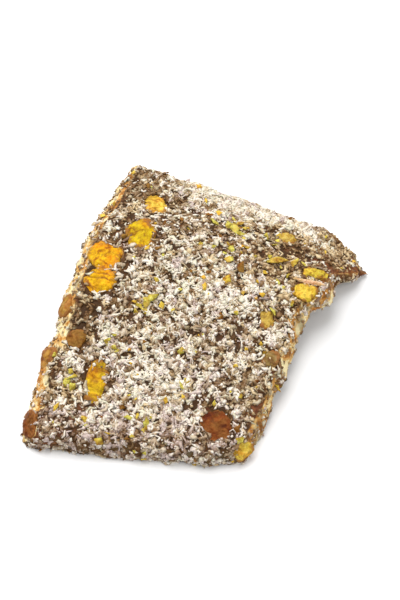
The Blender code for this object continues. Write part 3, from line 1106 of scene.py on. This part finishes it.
class CEZERYE_OT_crumbs(bpy.types.Operator):
    """Scatter small crumbs of nut through the coat"""
    bl_idname = "cezerye.crumbs"
    bl_label = "Nut Crumbs"

    def execute(self, context):
        # Unseeded, the roughness of the crumbs would differ in each run.
        noise.seed_set(1)
        nuts = context.scene.cezerye_nuts
        paste = context.scene.cezerye_paste
        veins = nuts.shell
        rng = np.random.default_rng(20)
        place, facing = on_face(PISTACHIO_PLACES)
        make_crumbs("pistachio_crumbs", rng, place, facing, PISTACHIO_SIZE, nuts.green, paste, veins)
        make_skin(paste, veins)
        kinds = (("yellow", nuts.yellow, 0.4), ("green", nuts.green, 0.3), ("brown", nuts.brown, 0.3))
        for seed, (kind, flesh, part) in enumerate(kinds):
            rng = np.random.default_rng(21 + seed)
            place, facing = scatter(rng, int(nuts.crumbs * part), survey().thick)
            make_crumbs("nut_crumbs_" + kind, rng, place, facing, CRUMB_SIZE, flesh, paste, veins)
        return {"FINISHED"}


# ---- the stage

FLOOR_HALF = 1.5


def add_light(name, place, size, power, target):
    """A round soft light, with its size in metres and its power in watts."""
    data = bpy.data.lights.new(name, "AREA")
    data.shape = "DISK"
    data.size = size
    data.energy = power
    light = bpy.data.objects.new(name, data)
    light.location = place
    light.rotation_euler = (target - Vector(place)).to_track_quat("-Z", "Y").to_euler()
    bpy.context.scene.collection.objects.link(light)


def add_floor(pale):
    """A wide plain floor, faintly uneven in tone."""
    bm = bmesh.new()
    bmesh.ops.create_grid(bm, x_segments=8, y_segments=8, size=FLOOR_HALF)
    mesh = bpy.data.meshes.new("floor")
    bm.to_mesh(mesh)
    bm.free()
    floor = bpy.data.objects.new("floor", mesh)
    bpy.context.scene.collection.objects.link(floor)
    finish = Finish("pale_floor")
    dull = tuple(0.985 * c for c in pale)
    finish.surface(
        Base_Color=finish.ramp(finish.noise(6.0, 2.0), (0.3, dull), (0.7, pale)),
        Roughness=0.9,
    )
    mesh.materials.append(finish.material)


class CEZERYE_OT_stage(bpy.types.Operator):
    """Set out the pale floor, the soft light and the camera"""
    bl_idname = "cezerye.stage"
    bl_label = "Stage"

    def execute(self, context):
        stage = context.scene.cezerye_stage
        scene = context.scene
        target = Vector((0.0, 0.0, 0.5 * CAD_BOX[1][2]))
        add_floor(stage.floor)

        world = bpy.data.worlds.new("soft_room")
        scene.world = world
        world.use_nodes = True
        background = world.node_tree.nodes["Background"]
        background.inputs["Color"].default_value = (1.0, 1.0, 1.0, 1.0)
        background.inputs["Strength"].default_value = 0.50
        add_light("key", (-0.22, 0.38, 0.80), size=1.00, power=10.9, target=target)
        add_light("fill", (0.45, -0.35, 0.70), size=0.70, power=2.0, target=target)

        camera_data = bpy.data.cameras.new("camera")
        camera_data.lens = stage.focal
        camera_data.dof.use_dof = False
        camera = bpy.data.objects.new("camera", camera_data)
        back = Vector((0.0, -math.cos(stage.elevation), math.sin(stage.elevation)))
        camera.location = target + back * stage.distance
        camera.rotation_euler = (-back).to_track_quat("-Z", "Y").to_euler()
        scene.collection.objects.link(camera)
        scene.camera = camera
        scene.view_settings.view_transform = "Standard"
        return {"FINISHED"}


class CEZERYE_PT_panel(bpy.types.Panel):
    """Lists the steps that finish the leaf"""
    bl_idname = "CEZERYE_PT_panel"
    bl_label = "Cezerye"
    bl_space_type = "VIEW_3D"
    bl_region_type = "UI"
    bl_category = "Cezerye"

    def draw(self, context):
        for group, operators in PANEL_ROWS:
            settings = getattr(context.scene, group)
            box = self.layout.box()
            for key in settings.__annotations__:
                box.prop(settings, key)
            for idname in operators:
                box.operator(idname)


PANEL_ROWS = (
    ("cezerye_paste", ("cezerye.leaf",)),
    ("cezerye_nuts", ("cezerye.nuts", "cezerye.crumbs")),
    ("cezerye_coat", ("cezerye.coconut",)),
    ("cezerye_stage", ("cezerye.stage",)),
)
GROUPS = {
    "cezerye_paste": PasteSettings,
    "cezerye_nuts": NutSettings,
    "cezerye_coat": CoatSettings,
    "cezerye_stage": StageSettings,
}
OPERATORS = (CEZERYE_OT_leaf, CEZERYE_OT_nuts, CEZERYE_OT_coconut, CEZERYE_OT_crumbs, CEZERYE_OT_stage)
CLASSES = (*GROUPS.values(), *OPERATORS, CEZERYE_PT_panel)


def register():
    for cls in CLASSES:
        bpy.utils.register_class(cls)
    for name, group in GROUPS.items():
        setattr(bpy.types.Scene, name, PointerProperty(type=group))


def unregister():
    for name in GROUPS:
        delattr(bpy.types.Scene, name)
    for cls in reversed(CLASSES):
        bpy.utils.unregister_class(cls)


def main():
    register()
    bpy.ops.cezerye.leaf()
    bpy.ops.cezerye.nuts()
    bpy.ops.cezerye.coconut()
    bpy.ops.cezerye.crumbs()
    bpy.ops.cezerye.stage()


if __name__ == "__main__":
    main()
